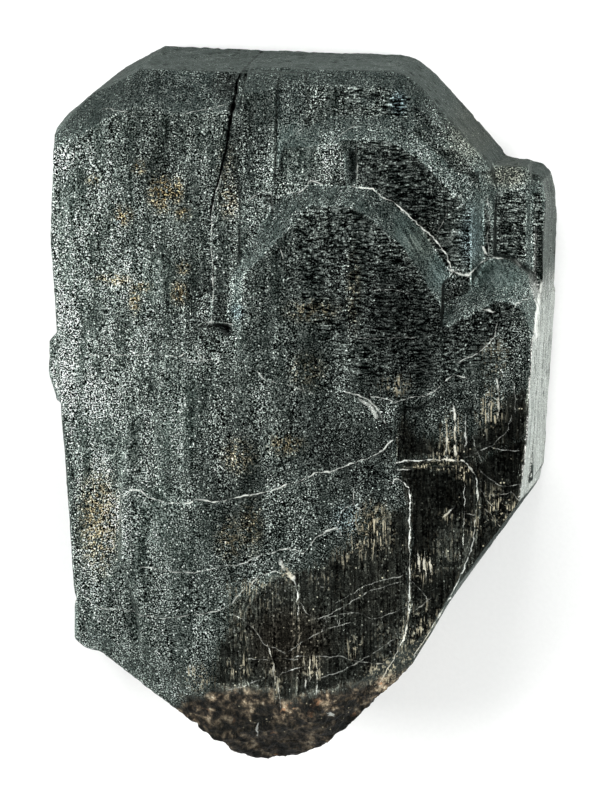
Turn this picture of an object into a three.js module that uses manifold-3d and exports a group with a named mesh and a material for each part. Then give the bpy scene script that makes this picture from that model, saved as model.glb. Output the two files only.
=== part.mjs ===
// A tantalite crystal: one blocky black crystal, grown as stacked parallel plates.
//
// Frame, in millimetres: the crystal lies on its back. +Y runs along it towards its finished
// end, +X to its right, and +Z out of its front. The origin is on the surface that it rests on,
// under the middle of its box.
//
// Every plate is cut by flat faces, as a crystal is. The plates overlap like shingles, each one
// nearer the front than the one above it, and together they are one solid.

import * as THREE from "three";
import { ConvexGeometry } from "three/addons/geometries/ConvexGeometry.js";
import { mergeVertices } from "three/addons/utils/BufferGeometryUtils.js";
import Module from "manifold-3d";

// ---- Driving dimensions ----

const BODY_FRONT = 46.5; // height of the broad front face over the back
const COLUMN_FRONT = 33.5; // front of the short columns at the right
const CAP_FRONT = 37.5; // front of the plate that carries the finished end
const SHOULDER_FRONT = 42; // front of the second plate, over the cap plate
const CENTRE_FRONT = 47.5; // front of the large middle plate
const FLANK_FRONT = 47; // front of the plate at its right
const TERRACE_STEP = 1.3; // height of the low terraces on the front
const DRAFT = 3.6; // how far the outer sides lean in from the back to the front
const TERRACE_RIM = 0.9; // how far a terrace's sloping rim runs in
const TERRACE_ROOT = 8; // how deep a terrace reaches into the plate under it
const LOST_LAYER = 0.7; // thickness of the layer lost from the lower right

const ABOVE = 70; // a height clear of every front face
const BELOW = -10; // a depth clear of the back

// ---- Solids ----

const wasm = await Module();
wasm.setup();

/** A closed geometry as a solid that can be joined and cut. */
function solidOf(geometry) {
  const bare = geometry.index ? geometry.toNonIndexed() : geometry.clone();
  bare.deleteAttribute("normal");
  bare.deleteAttribute("uv");
  const merged = mergeVertices(bare, 1e-4);
  return new wasm.Manifold(
    new wasm.Mesh({
      numProp: 3,
      vertProperties: new Float32Array(merged.attributes.position.array),
      triVerts: new Uint32Array(merged.index.array),
    }),
  );
}

/** A solid as a geometry for a THREE.Mesh. */
function geometryOf(solid) {
  const mesh = solid.getMesh();
  const stride = mesh.numProp;
  const positions = new Float32Array(mesh.numVert * 3);
  for (let i = 0; i < mesh.numVert; i++) {
    positions.set(mesh.vertProperties.subarray(i * stride, i * stride + 3), i * 3);
  }
  const geometry = new THREE.BufferGeometry();
  geometry.setAttribute("position", new THREE.BufferAttribute(positions, 3));
  geometry.setIndex(new THREE.BufferAttribute(mesh.triVerts, 1));
  const faceted = geometry.toNonIndexed();
  faceted.computeVertexNormals();
  return faceted;
}

/** An outline in the XY plane, raised from one height to another. */
function prism(outline, low, high) {
  const shape = new THREE.Shape(outline.map(([x, y]) => new THREE.Vector2(x, y)));
  const geometry = new THREE.ExtrudeGeometry(shape, { depth: high - low, bevelEnabled: false });
  return solidOf(geometry.translate(0, 0, low));
}

/** The convex solid that a handful of corners span. */
function block(corners) {
  return solidOf(new ConvexGeometry(corners.map((c) => new THREE.Vector3(...c))));
}

/** Keeps the side of a solid that lies behind the plane through point, facing along normal. */
function cutFace(solid, point, normal) {
  const inward = new THREE.Vector3(...normal).normalize().negate();
  return solid.trimByPlane(inward.toArray(), inward.dot(new THREE.Vector3(...point)));
}

/**
 * A plate with flat faces. Each row of rim is a corner of its convex outline, anticlockwise from
 * the front, then the bevel of the side that leaves that corner: how far in it runs over the
 * front, how far down it drops, and how far that side leans in by the height of the front.
 */
function plate({ rim, front, lean = 0 }) {
  let solid = prism(rim, 0, front);
  rim.forEach(([x, y, run = 0, drop = 0, slope = lean], i) => {
    const [nextX, nextY] = rim[(i + 1) % rim.length];
    const out = new THREE.Vector2(nextY - y, x - nextX).normalize();
    if (slope > 0) {
      solid = cutFace(solid, [x, y, 0], [out.x * front, out.y * front, slope]);
    }
    if (run > 0) {
      const inset = slope * (1 - drop / front);
      const top = [x - out.x * inset, y - out.y * inset, front - drop];
      solid = cutFace(solid, top, [out.x * drop, out.y * drop, run]);
    }
  });
  return solid;
}

/** A low terrace on a front face: a free outline with a narrow sloping rim. */
function terrace(outline, front, step = TERRACE_STEP, rim = TERRACE_RIM) {
  const shape = new THREE.Shape(outline.map(([x, y]) => new THREE.Vector2(x, y)));
  const geometry = new THREE.ExtrudeGeometry(shape, {
    depth: TERRACE_ROOT,
    bevelEnabled: true,
    bevelSize: rim,
    bevelOffset: -rim,
    bevelThickness: step,
    bevelSegments: 1,
  });
  return solidOf(geometry.translate(0, 0, front - TERRACE_ROOT - step));
}

/**
 * A crack: a groove of triangular section along a route. Each row of the route is x and y, the
 * height of the groove's floor, and its width at the height top.
 */
function crack(route, top) {
  const parts = [];
  for (let i = 0; i + 1 < route.length; i++) {
    const [a, b] = [route[i], route[i + 1]];
    const side = new THREE.Vector2(b[1] - a[1], a[0] - b[0]).normalize();
    const corners = [];
    for (const [x, y, floor, width] of [a, b]) {
      corners.push([x, y, floor]);
      corners.push([x + (side.x * width) / 2, y + (side.y * width) / 2, top]);
      corners.push([x - (side.x * width) / 2, y - (side.y * width) / 2, top]);
    }
    parts.push(block(corners));
  }
  return join(parts);
}

function join(solids) {
  return solids.reduce((all, one) => all.add(one));
}

// ---- The plates ----

/** The left block, the widest face. Its front leans back to the left and towards the end. */
function leftBlock() {
  let solid = plate({
    front: BODY_FRONT,
    lean: 1.2,
    rim: [
      [-56, -34, 0.8, 2.5],
      [-55.3, -44, 0.8, 1.5],
      [-53.8, -50],
      [-50.9, -59.2],
      [-37.6, -69.6],
      [-24.5, -79.4],
      [-18.5, -83.8],
      [-14, -86],
      [-14, 78.7, 11.6, 10.5, 4.8],
      [-37, 79.6, 8.7, 10.5, 3.2],
      [-46.5, 74.5, 3.9, 10.5, 1.5],
      [-56, 66.5, 2, 5],
      [-59.2, 62.5],
      [-60.2, 36, 0.8, 4],
      [-57.6, -8, 0.8, 4],
    ],
  });
  solid = cutFace(solid, [0, 14, BODY_FRONT], [0, 0.055, 1]);
  solid = cutFace(solid, [-34, 0, BODY_FRONT], [-0.11, 0, 1]);
  return solid.subtract(join([bevelFlake(-50.5, -38.5, 66), bevelFlake(-35.5, -19, 65.4)]));
}

/** A shallow flake off the bevel at the left block's end, between two x, reaching down to low. */
function bevelFlake(left, right, low) {
  return block([
    [left, low + 1.8, 44.6],
    [left + 3, low + 0.3, 44.4],
    [right - 3, low, 44.4],
    [right, low + 1.5, 44.6],
    [left + 0.5, 75.6, 35.4],
    [right - 0.5, 75.8, 35.4],
    [left + 0.5, 84, ABOVE],
    [right - 0.5, 84, ABOVE],
    [left, low + 1.8, ABOVE],
    [right, low + 1.5, ABOVE],
  ]);
}

/** Small steps in the left side: parallel growth that stops short of the front face. */
function leftSideSteps() {
  const knob = plate({
    front: 43,
    rim: [[-50, -3], [-50, 17], [-57.5, 15.5], [-59.6, 13.4], [-59.9, 5.2, 0.8, 1.2], [-57.8, -1]],
  });
  const rib = plate({
    front: 27,
    rim: [[-50, -50], [-50, 58], [-59.8, 50, 1, 3], [-60.8, 30, 1.2, 3], [-59.6, -8, 1.2, 3], [-56, -46]],
  });
  const lowRib = plate({
    front: 15,
    rim: [[-50, -20], [-50, 66], [-59, 60, 1, 2], [-62.4, 44, 1, 2], [-62, 8, 1, 2]],
  });
  const ledge = plate({
    front: 42,
    rim: [[-47, -46], [-53.4, -46.6], [-54.4, -49, 0.8, 1], [-54.4, -57.2], [-51.6, -59.6], [-47, -60]],
  });
  return join([knob, rib, lowRib, ledge]);
}

/** The narrow column between the left block and the plates at the right. */
function seamColumn() {
  const solid = plate({
    front: BODY_FRONT,
    lean: 2.2,
    rim: [
      [-21.5, 10],
      [-8, 10],
      [-5.5, 46, 14, 5.2],
      [-4.6, 78.3, 6.6, 9.5, 4],
      [-15, 78.5],
      [-21.2, 46.5],
    ],
  });
  return cutFace(solid, [-18, 14, BODY_FRONT], [0.05, 0.06, 1]);
}

/** The cap plate, deepest of the front plates, which carries the flat finished end. */
function capPlate() {
  const main = plate({
    front: CAP_FRONT,
    lean: 2.4,
    rim: [
      [-20, -50],
      [28, -50],
      [44.5, -20],
      [45.5, 49, 3, 4],
      [43.6, 55.5, 3, 4],
      [27.3, 73.6, 3.2, 4],
      [23.8, 76.2, 3.4, 4],
      [19.5, 77.5, 3.4, 4],
      [-15, 78.4],
    ],
  });
  const step = plate({
    front: CAP_FRONT + 4,
    lean: 3.4,
    rim: [
      [-15, 44],
      [-6, 44],
      [1.6, 52, 8, 3.9],
      [3, 70, 8, 3.9],
      [2, 77.8, 4.6, 5.5],
      [-15, 78.4],
    ],
  });
  const rightStep = plate({
    front: CAP_FRONT + 1.2,
    lean: 2.6,
    rim: [
      [20, 50],
      [46, 50, 3, 4],
      [43.2, 56, 3, 4],
      [27, 73.8, 3, 3],
      [21, 74, 2, 1.6],
      [20, 62],
    ],
  });
  return join([main, step, rightStep]);
}

/** The second plate, with a broad bevel round its upper end. */
function shoulderPlate() {
  return plate({
    front: SHOULDER_FRONT,
    rim: [
      [42, 0, 4, 7],
      [42, 47.5, 4, 7],
      [38.4, 52, 6, 5.5],
      [29, 61.5, 6, 5],
      [22, 65.3, 5, 4.5],
      [6.5, 65.3, 5.5, 4.5],
      [-4, 61.5, 9, 2.5],
      [-11, 50, 6, 1],
      [-12, 40],
      [-12, 0],
    ],
  });
}

/** The large middle plate: its arched upper end has the widest bevel of the crystal. */
function centrePlate() {
  const closing = prism([[31.6, -60], [44, -60], [44, 39.8], [31.6, 27.4]], 20, ABOVE);
  const arched = plate({
    front: CENTRE_FRONT,
    rim: [
      [-18.5, -84],
      [-12, -86.4],
      [-3, -85.8],
      [4, -82],
      [17, -69.4],
      [25, -61.5],
      [31.4, -50],
      [34.3, 30, 6.2, 6.5],
      [27.5, 40.5, 6.2, 6.5],
      [20.5, 46.5, 6, 6.5],
      [15.5, 49.8, 4.6, 6],
      [0, 50.3, 4.8, 6],
      [-7, 45.5, 6, 6],
      [-15, 37, 3, 4],
      [-17.6, 31, 3.5, 2],
      [-18.4, 0, 3, 1.1],
    ],
  });
  return arched.subtract(closing);
}

/** The plate right of the middle one. Its outer side leans out towards the back. */
function flankPlate() {
  return plate({
    front: FLANK_FRONT,
    lean: DRAFT,
    rim: [
      [20, -64],
      [26, -61],
      [31, -55],
      [53.2, -23.5],
      [54.8, -8],
      [56.4, 22, 2.6, 7],
      [53.6, 31, 6.5, 9],
      [48, 35.2, 8.5, 10],
      [43, 36.2, 8.5, 9.5],
      [38, 33.6, 3.5, 4],
      [28, 24],
    ],
  });
}

/** The short columns at the right, with a slot between the last two that widens downwards. */
function columns() {
  const inner = plate({
    front: COLUMN_FRONT,
    rim: [
      [35, -20],
      [52.3, -20, 2, 3],
      [52.3, 47.8, 2, 3],
      [50.5, 53.2, 5.5, 4.5],
      [38, 54],
      [35, 40],
    ],
  });
  const outer = plate({
    front: COLUMN_FRONT - 2,
    lean: 2.2,
    rim: [
      [50, -26],
      [54, -20],
      [55.6, 10],
      [56.8, 46, 0.8, 1.5],
      [55.8, 51, 2, 4],
      [53.6, 53.3, 4, 4],
      [44, 54.1],
      [44, 0],
    ],
  });
  const narrow = block([
    [51.9, 38, ABOVE],
    [53.2, 38, ABOVE],
    [52.9, 49, ABOVE],
    [52, 48.8, ABOVE],
    [52.3, 38, COLUMN_FRONT - 4.6],
    [52.8, 38, COLUMN_FRONT - 4.6],
    [52.4, 48, COLUMN_FRONT - 4],
  ]);
  const wide = block([
    [51.8, 20, ABOVE],
    [54.6, 20, ABOVE],
    [54.6, 39.4, ABOVE],
    [53.9, 41, ABOVE],
    [52.6, 41.4, ABOVE],
    [51.8, 40, ABOVE],
    [52.2, 20, COLUMN_FRONT - 3.8],
    [54, 20, COLUMN_FRONT - 3.6],
    [54, 38.6, COLUMN_FRONT - 3.2],
    [52.4, 39.4, COLUMN_FRONT - 3.4],
  ]);
  return join([inner, outer]).subtract(join([narrow, wide]));
}

/** The low terraces that step over the front face. */
function terraces() {
  const front = CENTRE_FRONT;
  const lowerTerrace = [
    [-16, -84.6], [-3, -84.6], [4, -81], [12, -73.6], [17.5, -67], [23, -57], [25, -47.5], [25, -20],
    [23.8, -17], [22, -16.8], [20, -12.5], [14, -13.2], [8, -14.8], [-5.5, -19.6], [-14.5, -21.8],
    [-27, -23], [-32, -22.4], [-35.5, -20.6], [-39, -19], [-42.5, -20.5], [-43, -36], [-39, -50],
    [-38, -62],
  ];
  const rightTongue = [
    [20, -66], [25, -61], [29, -54.5], [33.5, -46.5], [36.5, -41], [39.3, -34], [40.5, -25],
    [40.7, -17.5], [39.7, -14.8], [37, -12.7], [22, -13.4], [19, -20], [19, -50],
  ];
  const smallTongue = [
    [-11, -77], [-2, -77], [-1, -54], [-1, -42], [-3.5, -39.4], [-7, -39], [-12, -43], [-15, -50],
  ];
  const leftTongue = [
    [-34.5, -24], [-21, -24], [-21, 5], [-22.5, 10], [-26, 12.5], [-31, 11.7], [-34.5, 8],
  ];
  const narrowTongue = [[-43, -24], [-36, -24], [-35.6, -4], [-37.5, -1.6], [-40.5, -2.4], [-42.5, -9]];
  const hook = [[-21.5, 18.5], [-17.5, 18], [-17.2, 25.5], [-20.8, 26]];
  return join([
    terrace(lowerTerrace, front + TERRACE_STEP),
    terrace(rightTongue, front + 0.6, 2.2, 1.1),
    terrace(smallTongue, front + 2 * TERRACE_STEP, TERRACE_STEP, 1),
    terrace(leftTongue, BODY_FRONT + 0.6, 0.6, 1.6),
    terrace(narrowTongue, BODY_FRONT - 0.3, 0.6, 1),
    terrace(hook, BODY_FRONT, 0.6, 0.3),
  ]);
}

// ---- What is broken off, cracked and worn ----

/** Chips and pits, each one a small faceted hollow. */
function chips() {
  return join([
    // the rough hollow at the top of the seam
    block([[-24, 72.5, 42], [-22, 76.5, 36.5], [-15.2, 78, 36.5], [-15.6, 70.5, 40], [-18, 69, 43],
      [-21, 72.5, 38], [-17.5, 74, 34.8], [-15, 72, ABOVE], [-24, 75, ABOVE], [-23, 72, ABOVE]]),
    // the broken edge of the shoulder plate's left corner
    block([[8, 57, 43], [11.9, 59.4, 43], [12, 49.6, 43], [8.6, 49.2, 43], [10.5, 57, 39.8],
      [11.2, 57.2, 39.4], [11.1, 50.8, 39.6]]),
    // pits in the cap plate under its right-hand bevel
    block([[20.5, 69.5, 41], [26.5, 71, 41], [36, 60, 41], [31.5, 56, 41], [24, 67, 37.3],
      [29, 61.5, 36.8], [33.4, 59.6, 37.4]]),
    block([[11, 71.5, 39], [18, 71, 39], [16, 66, 39], [10, 67, 39], [14, 69, 36.2]]),
    // the pit beside the seam
    block([[-12.8, 46.4, 46], [-8, 48.5, 46], [-7.4, 42.5, 46], [-8.5, 42, 46], [-8.6, 46, 39.6]]),
    // the hollow under the hook
    block([[-22.6, 18.2, 49], [-16.6, 18.4, 49], [-16.3, 14.8, 49], [-18, 14.4, 49], [-17.8, 17.2, 43],
      [-21, 17.6, 45], [-16.9, 15.8, 43.4]]),
    // the shell-shaped chip in the middle plate
    block([[10.4, 2.8, 49], [16.8, 1.4, 49], [19.6, -4, 49], [14.4, -1.4, 49], [15.8, -0.4, 45.8]]),
    // the corner lost from the flank plate
    block([[48, 25.6, 47], [53.6, 28.4, 47], [53.4, 20.6, 47], [50.6, 21, 47], [52.2, 25.4, 43]]),
  ]);
}

/** The thin layer lost from the lower right of the front, which leaves a fresh face. */
function lostLayer() {
  const outline = [
    [20.8, -80], [60, -80], [60, 12], [52.5, 10.5], [48, 8.4], [42, 5.6], [36, 4], [31, 2.2],
    [26.5, -0.6], [20.8, -1.4],
  ];
  return prism(outline, FLANK_FRONT - LOST_LAYER, ABOVE);
}

/** Fine growth lines: shallow grooves that run along the right-hand side. */
function sideLines() {
  const lines = [];
  for (let i = 0; i < 7; i++) {
    const height = 5 + i * 5.4;
    const face = 56.6 - (DRAFT * height) / FLANK_FRONT;
    const start = -19 + 5 * Math.sin(i * 2.3);
    const end = 21 - 6 * Math.cos(i * 1.7);
    lines.push(
      block([
        [face + 1, start, height - 0.7],
        [face + 1, start, height + 0.7],
        [face + 1, end, height - 0.7],
        [face + 1, end, height + 0.7],
        [face - 2.1, start + 4, height],
        [face - 0.9, end - 4, height],
      ]),
    );
  }
  return join(lines);
}

/** The foot is broken across: uneven faces that fall away from the front. */
function breakFoot(solid) {
  const faces = [
    [[-8, -69, CENTRE_FRONT + 1.4], [-0.1, -0.66, 1]],
    [[-4, -76, CENTRE_FRONT - 3], [0.05, -1.1, 1]],
    [[8, -71, CENTRE_FRONT + 0.6], [0.34, -0.55, 1]],
    [[-30, -65, CENTRE_FRONT - 1], [-0.42, -0.6, 1]],
    [[-38, -68, 42], [-0.6, -0.9, 1]],
    [[14, -73, 40], [0.7, -0.9, 1]],
    [[-6, -85.2, 26], [-0.1, -1, -0.3]],
    [[-30, -75, 20], [-0.6, -1, -0.35]],
    [[14, -73, 20], [0.8, -1, -0.25]],
  ];
  return faces.reduce((left, [point, normal]) => cutFace(left, point, normal), solid);
}

/** The back: flat, with narrow chamfers round it and low growth steps in it. */
function shapeBack(solid) {
  const chamfers = [
    [[-58, 0, 0], [-1, 0.03, -1.1]],
    [[-43, 75.4, 0], [-0.55, 1, -1.1]],
    [[0, 76, 0], [0, 1, -1.1]],
    [[34, 62, 0], [1, 0.85, -1.1]],
    [[54, 0, 0], [1, 0, -1.1]],
    [[38, -39, 0], [1, -0.72, -1.1]],
    [[-6, -80, 0], [-0.1, -1, -1]],
  ];
  const chamfered = chamfers.reduce((left, [point, normal]) => cutFace(left, point, normal), solid);
  const steps = [
    prism([[-70, 20], [-46, 14], [-41, 30], [-41, 90], [-70, 90]], BELOW, 2.2),
    prism([[-46, 62], [6, 58], [10, 90], [-46, 90]], BELOW, 1.4),
    prism([[36, -60], [44, -20], [43, 22], [39, 34], [39, 90], [70, 90], [70, -60]], BELOW, 2.6),
    prism([[-70, -100], [-36, -100], [-38, -62], [-46, -40], [-70, -36]], BELOW, 3.4),
    prism([[-12, -100], [-8, -66], [6, -60], [20, -58], [40, -100]], BELOW, 2),
    prism([[-6, -20], [2, -24], [4, 26], [-3, 30]], BELOW, 1.1),
  ];
  return chamfered.subtract(join(steps));
}

/** The seam between the left block and the rest, open at the top and closing downwards. */
function seams() {
  const main = crack(
    [[-13.4, 79, 26, 1.2], [-14.8, 76.6, 27, 1.5], [-16.3, 73.3, 29, 1.8], [-16.4, 70, 31, 1.5],
      [-17.3, 64, 35, 1.2], [-18.2, 58, 39, 1.1], [-19.4, 52.4, 42, 1], [-21.2, 46.5, 44, 0.8],
      [-21.8, 30.5, 45.2, 0.7], [-21.4, 18, 45.4, 0.8]],
    BODY_FRONT,
  );
  const cross = crack(
    [[46.5, 56, 24, 0.8], [42.5, 53.6, 33, 0.7], [36.6, 49.4, 38.4, 0.6], [33, 45, 40.4, 0.5],
      [30, 39.5, 41, 0.5]],
    SHOULDER_FRONT,
  );
  const endFace = block([[-14.8, 81, 41], [-13.6, 81, 41], [-11.4, 81, 7], [-10.6, 81, 7],
    [-14.2, 77.4, 41], [-11, 78.2, 9]]);
  return join([main, cross, endFace]);
}

const plates = join([
  leftBlock(),
  leftSideSteps(),
  seamColumn(),
  capPlate(),
  shoulderPlate(),
  centrePlate(),
  flankPlate(),
  columns(),
]);

const grown = plates.subtract(lostLayer()).add(terraces());

const body = shapeBack(breakFoot(grown))
  .subtract(join([chips(), seams(), sideLines()]));

// ---- The finished part ----

const crystal = new THREE.Mesh(
  geometryOf(body),
  new THREE.MeshStandardMaterial({ color: 0x2c3332, roughness: 0.45, metalness: 0.35 }),
);
crystal.name = "tantalite_crystal";

// The middle of its box goes over the origin.
crystal.geometry.computeBoundingBox();
const middle = crystal.geometry.boundingBox.getCenter(new THREE.Vector3());
crystal.geometry.translate(-middle.x, -middle.y, 0);

const specimen = new THREE.Group();
specimen.add(crystal);

export default specimen;
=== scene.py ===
"""A tantalite specimen: one blocky black crystal that lies on its back on a pale floor.

The crystal's surface is made from its solid: it is divided finely, rubbed and roughened by
region, and given one procedural finish. Lengths in this file are millimetres in the frame of
the solid, +Y towards the crystal's finished end and +Z out of its front, unless said otherwise.
"""

import math

import bmesh
import bpy
import numpy as np
from bpy.props import FloatProperty, FloatVectorProperty, IntProperty, PointerProperty
from mathutils import Matrix, Vector
from mathutils.bvhtree import BVHTree


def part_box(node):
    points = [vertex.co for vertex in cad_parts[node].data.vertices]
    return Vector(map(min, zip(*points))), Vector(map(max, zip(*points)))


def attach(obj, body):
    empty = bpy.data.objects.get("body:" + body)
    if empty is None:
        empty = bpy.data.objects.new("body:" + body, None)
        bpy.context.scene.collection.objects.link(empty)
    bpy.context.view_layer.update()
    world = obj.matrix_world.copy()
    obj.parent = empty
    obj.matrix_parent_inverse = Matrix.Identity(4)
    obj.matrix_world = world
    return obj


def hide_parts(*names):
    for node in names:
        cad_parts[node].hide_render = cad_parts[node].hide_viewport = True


bl_info = {
    "name": "Tantalite Specimen",
    "version": (1, 0, 0),
    "blender": (4, 5, 0),
    "location": "View3D > Sidebar > Specimen",
    "description": "Builds the surface and the finish of a blocky black tantalite crystal",
    "category": "Add Mesh",
}

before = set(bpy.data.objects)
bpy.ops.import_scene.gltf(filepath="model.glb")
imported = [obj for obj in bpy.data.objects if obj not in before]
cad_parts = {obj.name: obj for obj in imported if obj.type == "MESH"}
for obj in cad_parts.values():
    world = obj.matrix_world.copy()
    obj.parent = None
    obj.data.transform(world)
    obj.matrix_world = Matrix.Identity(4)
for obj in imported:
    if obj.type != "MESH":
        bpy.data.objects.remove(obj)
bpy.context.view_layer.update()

NODE = "tantalite_crystal"
BODY = "root"
MM = 0.001
BOX_LOW, BOX_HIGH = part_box(NODE)
TOP = BOX_HIGH.z / MM
HEIGHT = (BOX_HIGH.z - BOX_LOW.z) / MM
KEEP_LEVELS = 4  # steps in how strongly the thinning spares a point
KEEP_FACTOR = 1e-5  # how much sparing weighs against flatness in the thinning
WIDE_ROUNDING, CLOSE_ROUNDING = 6, 3  # how many points away edges and corners are looked for
SHARP_ANGLE = math.radians(42)  # edges of the skin that bend more than this stay sharp
REST_SKIN = 1.2  # below this height the skin is only pitted, so that it rests flat
MOST_PROUD = 0.6  # how far the skin may stand out of the solid's front


# ---- Where the crystal's finishes lie ----

# The glossy breaks at the lower right: how soft the edge is, how bright the break is, its outline.
BREAKS = [
    (1.5, 0.6, [(25, -9.5), (44, -9.5), (57, -2), (62, -19), (37, -60), (27.5, -68), (27.5, -20)]),
    (4.0, 1.5, [(-20, -76), (-18, -60), (-16, -52), (-12.5, -43), (-3, -37), (6, -35), (13, -30),
                (24, -21), (27.5, -20), (27.5, -68), (24, -76)]),
    (4.0, 0.8, [(24.5, -9.5), (24.5, -1), (27, 0), (29, -4), (34, -5), (40, -4), (44, -1), (47, 2),
                (50, 6), (54, 9), (58, 8), (57, -2), (44, -9.5)]),
]
# The faces that carry fine cross ripples.
RIPPLED_FACES = [
    [(2, 50), (12, 55), (22, 48), (34, 33), (34, 10), (20, 6), (10, 14), (2, 26)],
    [(14, 66), (26, 66), (40, 48), (40, 32), (33, 34), (22, 50), (14, 55)],
    [(40, 52), (60, 52), (60, 34), (40, 34)],
    [(34, 27), (50, 27), (50, 14), (34, 10)],
    [(12, 78), (32, 78), (32, 68), (12, 68)],
]
# Patches of iron stain: middle x and y, half the width, half the height, and the strength.
RUST_PATCHES = [
    (-30, 51.5, 3, 4, 1.0), (-35.2, 57.3, 1.5, 1.5, 0.9), (-26.2, 52.1, 1.2, 3, 0.9),
    (-39, 46.1, 2.2, 2, 0.9), (-25, 47, 1.8, 1.5, 0.8), (-46, 54.4, 1.5, 1.2, 0.6),
    (-14.5, 50, 2.2, 4, 0.45), (-24.8, 34.5, 1.5, 1.5, 0.8), (-25.8, 28.6, 2, 2.5, 0.8),
    (-41, 31.5, 4, 1.2, 0.8), (-34.5, 30, 2.5, 1, 0.7), (-36.2, 26.8, 1.2, 3, 0.8),
    (-45, -25, 4.5, 11, 0.7), (-1, -6, 4, 2.5, 0.6), (4, 11, 4, 4, 0.35), (-12, -9, 4, 4, 0.5),
    (-14, -28, 3, 5, 0.5), (-9, -25, 2.5, 6, 0.5), (5, 25, 6, 2.5, 0.5), (-15, 58, 2, 6, 0.25),
    (14.5, 30, 1.5, 9, 0.4), (20, -25, 4, 5, 0.7), (-11, -44, 2, 2, 0.5), (6.5, -67, 3.6, 2.4, 1.0),
]
# Patches where the grains' painted glints are coarser and brighter than elsewhere, and calmer ones.
GLINT_PATCHES = [
    (-15.6, 76, 3.2, 2.8, 2.6), (3.8, 72.5, 2.6, 3.5, 0.9), (-9.5, 59.5, 5, 4.5, 0.6),
    (30, 69.5, 3.4, 2.6, 1.2), (35, 65, 2.6, 3, 1.2), (-53, 57.8, 2.6, 4, 1.3),
    (-38, 38.5, 6, 6.5, 0.3), (-52, 24, 3.5, 8, 0.7), (-52.5, 5, 3, 16, 0.6),
    (-26.4, 58.5, 1.3, 9, 0.7), (-34, 60.5, 1.3, 4.5, 0.7), (-22, 25.7, 3, 4, 0.7),
    (20, 2, 3, 3, 0.7), (-16, 0, 3.4, 15, 0.5), (9.5, 57.5, 2.6, 4.5, 0.9), (-14, 55, 1.8, 8, 0.7),
    (46, 21, 6, 5, 1.1), (9, 32, 2, 16, 0.5), (13.5, 30, 1.6, 16, 0.5), (-46, 3, 5, 8, 0.4),
    (-42, -26, 5, 10, 0.5), (-17, 38, 2, 6, 0.5), (25, 12, 5, 5, 0.4), (-7, -40, 5, 3.5, 0.6),
]
CALM_PATCHES = [
    (-27, 3, 6, 13, 0.45), (-28, -27, 11, 11, 0.45), (-42, 68, 14, 5, 0.3), (-25, 35, 7, 10, 0.35),
    (0, 60, 5, 7, 0.55), (-9, 72, 5, 5, 0.2), (-38, 64, 6, 3, 0.3), (-30, 42, 7, 3, 0.2),
    (4, 24, 7, 12, 0.25),
]
# Broad fields that are brighter or darker than the rest: middle x and y, half the width, half
# the height, and the factor. They are partly the crystal's own lightness and partly painted light
# and shade, such as painted shadow in the pit under the hook and painted light on the slot's floor.
TONE_AND_SHADE_FIELDS = [
    # the left plate: a brighter left edge, bright shallow terraces and dark fields between them
    (-52, 24, 6, 26, 1.35), (-34, 31, 6, 6, 1.8), (-27, 0, 6, 12, 2.0), (-31, -24, 6, 8, 1.45),
    (-44.5, -10, 6, 12, 1.4), (-28, -28, 12, 12, 1.3), (-8, 47, 6, 4, 1.3),
    (-19, 26, 6, 8, 0.4), (-20, 52, 9, 5, 0.7), (-32, 56, 5, 9, 0.6), (-11.5, 57, 4.5, 9, 0.45),
    (-30, 62, 9, 8, 0.75), (-13, -10, 7, 18, 0.5), (-30.7, 1, 1.2, 12, 0.5), (0, 2, 5, 6, 0.65),
    (-14, -34, 5, 5, 0.7), (-40, -46, 4, 5, 0.65), (-22, -56, 10, 7, 0.9), (-38, 70, 11, 4, 0.7),
    # the plate with the finished end: the rough hollow at the seam is bright, the rest dark
    (-14, 76, 4, 2.6, 1.3), (-4, 68, 9, 9, 0.5), (0, 60, 6, 8, 1.2), (24, 54, 12, 10, 0.45),
    (32, 42, 5, 8, 0.5),
    # the middle plate and the plates at its right
    (12, 30, 22, 20, 0.55), (0, 26, 6, 9, 1.25), (27, 20, 9, 15, 0.35), (8, 37, 3, 5, 0.7),
    (46, 45, 3, 6, 0.6), (43, 22, 9, 8, 0.35), (32, 10, 18, 4, 0.7), (56, 35, 2, 7, 1.6),
    (11, -8, 10, 8, 0.55), (27, -4, 4, 5, 0.5),
    # the fresh breaks
    (38, 2, 8, 5, 0.8), (50, -5, 3, 6, 0.4), (36, -14, 6, 6, 0.8), (27, -28, 2.5, 6, 0.6),
    (37.5, -30, 4.5, 7, 5.0), (30, -45, 4, 7, 2.2), (24, -53, 4, 6, 1.5), (2, -39, 8, 4, 1.35),
    (-2, -53, 7, 6, 0.6), (33, -10.2, 8, 1.8, 2.2), (48, -20, 5, 5, 1.4), (-18, -61, 4, 4, 0.6),
]
# The same for the sloping faces alone.
SLOPE_TONE_AND_SHADE_FIELDS = [
    (-15.6, 76, 3.2, 2.8, 0.35), (-34, 75, 10, 3, 0.75), (0, 50, 12, 5, 1.0), (-10, 42, 6, 6, 1.2),
    (-12, 32, 3, 8, 1.2), (20, 50, 4, 4, 0.8), (28, 42, 5, 5, 2.0), (33.5, 34, 4, 5, 2.2),
    (32, 46, 3, 3, 0.55), (23, 41, 3, 3.5, 0.6), (29, 31, 4, 6, 0.4), (34, 57, 9, 7, 1.5),
    (42, 42, 3, 8, 1.4), (44, 33, 8, 5, 1.15), (51, 30, 4, 4, 1.5),
]
# Sloping faces that are smooth and glossy.
SMOOTH_SLOPES = [
    (28, 42, 6, 7, 1.0), (33.5, 34, 3, 5, 1.0), (47, 33, 9, 4, 0.9), (43, 44, 2.5, 7, 0.5),
]
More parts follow.
